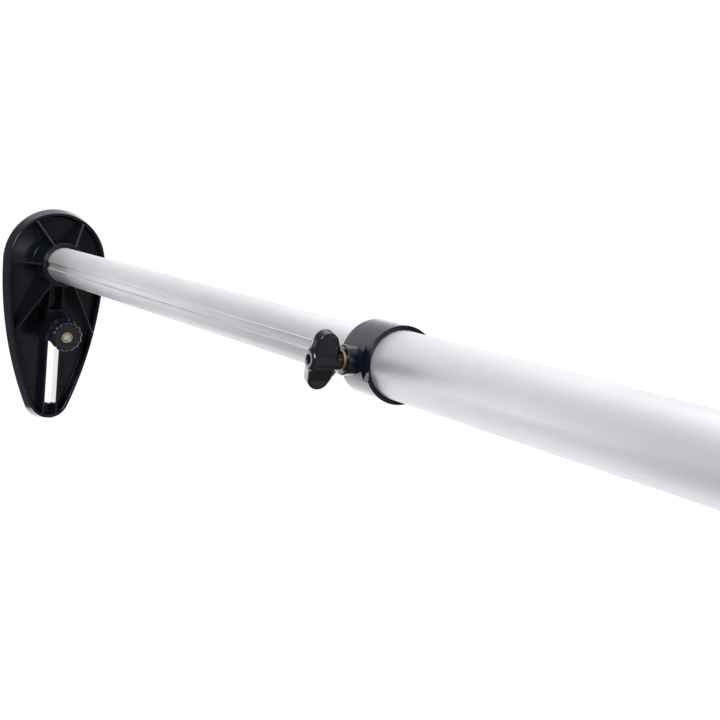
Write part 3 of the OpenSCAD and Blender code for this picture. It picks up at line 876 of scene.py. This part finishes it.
# The fitted camera: its place in millimetres, its turns in radians
CAMERA_PLACE = (1236.0, -383.0, 90.5)
YAW, PITCH, ROLL = -0.5008, 0.1173, 0.0851

# Patches of light in the world: a direction, the cosines of its edge and its core, a strength
BACKDROP = ((-0.88, 0.47, 0), 0.50, 0.64, 1.0)
TABLE = ((-0.80, 0.25, -0.55), 0.80, 0.88, 2.1)
STRIP = ((-0.947, -0.30, -0.12), 0.975, 0.99, 2.4)
FILL = ((0.80, 0.30, -0.53), 0.86, 0.97, 0.3)


def camera():
    """The camera that was fitted to the photograph."""
    data = bpy.data.cameras.new("camera")
    data.lens, data.sensor_width = 77.5, 36
    data.clip_start, data.clip_end = 0.01, 100
    facing = Matrix(((0, 1, 0), (0, 0, -1), (-1, 0, 0)))
    turn = (Matrix.Rotation(ROLL, 3, "Z") @ Matrix.Rotation(PITCH, 3, "X")
            @ Matrix.Rotation(YAW, 3, "Y") @ facing)
    right, down, ahead = turn
    obj = bpy.data.objects.new("camera", data)
    axes = Matrix((right, -down, -ahead)).transposed()
    obj.matrix_world = Matrix.Translation(Vector(CAMERA_PLACE) * MM) @ axes.to_4x4()
    bpy.context.scene.collection.objects.link(obj)
    bpy.context.scene.camera = obj


def lamp(name, place, target, size, power):
    """A round area lamp that faces a target. Places are in metres."""
    data = bpy.data.lights.new(name, "AREA")
    data.shape, data.size, data.energy = "DISK", size, power
    obj = bpy.data.objects.new(name, data)
    obj.location = place
    obj.rotation_euler = (Vector(target) - Vector(place)).to_track_quat("-Z", "Y").to_euler()
    bpy.context.scene.collection.objects.link(obj)


def between(tree, value, start, end, low=0.0, high=1.0):
    """Eases from low to high while a value goes from start to end."""
    ease = add_node(tree, "MapRange", {
        "Value": value, "From Min": start, "From Max": end, "To Min": low, "To Max": high},
        interpolation_type="SMOOTHSTEP")
    return ease.outputs["Result"]


def glow_from(tree, way, direction, edge, core, strength):
    """A soft-edged patch of light round a direction."""
    towards = add_node(tree, "VectorMath", {0: way, 1: tuple(Vector(direction).normalized())},
                       operation="DOT_PRODUCT")
    return between(tree, towards.outputs["Value"], edge, core, 0.0, strength)


def combined(tree, operation, first, second):
    """The result of one operation on two values."""
    return add_node(tree, "Math", {0: first, 1: second}, operation=operation).outputs["Value"]


def sky():
    """A white world: bright behind and below the strut, softer above, dim on the camera's side."""
    world = bpy.data.worlds.new("studio")
    bpy.context.scene.world = world
    world.use_nodes = True
    tree = world.node_tree
    tree.nodes.clear()
    way = add_node(tree, "TexCoord").outputs["Generated"]
    height = add_node(tree, "SeparateXYZ", {"Vector": way}).outputs["Z"]
    backdrop = glow_from(tree, way, *BACKDROP)
    backdrop = combined(tree, "MULTIPLY", backdrop, between(tree, height, 0.0, 0.6, 1.6, 0.6))
    table = glow_from(tree, way, *TABLE)
    strip = glow_from(tree, way, *STRIP)
    fill = glow_from(tree, way, *FILL)
    ceiling = between(tree, height, 0.45, 0.95, 0.15, 0.9)
    level = combined(tree, "MAXIMUM", backdrop, table)
    for part in (strip, fill, ceiling):
        level = combined(tree, "ADD", level, part)
    soft = add_node(tree, "Background", {"Strength": level})
    white = add_node(tree, "Background", {"Strength": 1.0})
    soft.inputs["Color"].default_value = (0.97, 0.98, 1.0, 1)
    white.inputs["Color"].default_value = (1, 1, 1, 1)
    seen = add_node(tree, "LightPath").outputs["Is Camera Ray"]
    mix = add_node(tree, "MixShader", {
        0: seen, 1: soft.outputs["Background"], 2: white.outputs["Background"]})
    out = add_node(tree, "OutputWorld")
    tree.links.new(mix.outputs["Shader"], out.inputs["Surface"])


def white_floor():
    """A pale floor that glows a little and keeps the strut's shadow."""
    bpy.ops.object.select_all(action="DESELECT")
    bpy.ops.mesh.primitive_plane_add(size=16, location=(0.5, 0, -0.75))
    floor = bpy.context.object
    floor.name = "floor"
    floor.visible_glossy = floor.visible_diffuse = False
    material, tree, shader = new_material("floor white")
    shader.inputs["Base Color"].default_value = (0.9, 0.9, 0.91, 1)
    shader.inputs["Roughness"].default_value = 0.9
    glow = add_node(tree, "Emission", {"Color": (0.99, 0.99, 1.0, 1), "Strength": 1.2})
    share = add_node(tree, "MixShader", {
        0: 0.75, 1: shader.outputs["BSDF"], 2: glow.outputs["Emission"]})
    tree.links.new(share.outputs["Shader"], tree.nodes["Material Output"].inputs["Surface"])
    floor.data.materials.append(material)


def studio():
    """The world, the floor and the two lamps."""
    sky()
    white_floor()
    lamp("overhead", (-0.1, 0.3, 1.7), (0.3, 0, 0), size=1.4, power=8)
    lamp("key", (1.7, -1.7, 1.0), (0.5, 0, 0), size=1.0, power=30)
    bpy.context.scene.view_settings.view_transform = "Standard"


dress_cad_nodes()
build()
camera()
studio()
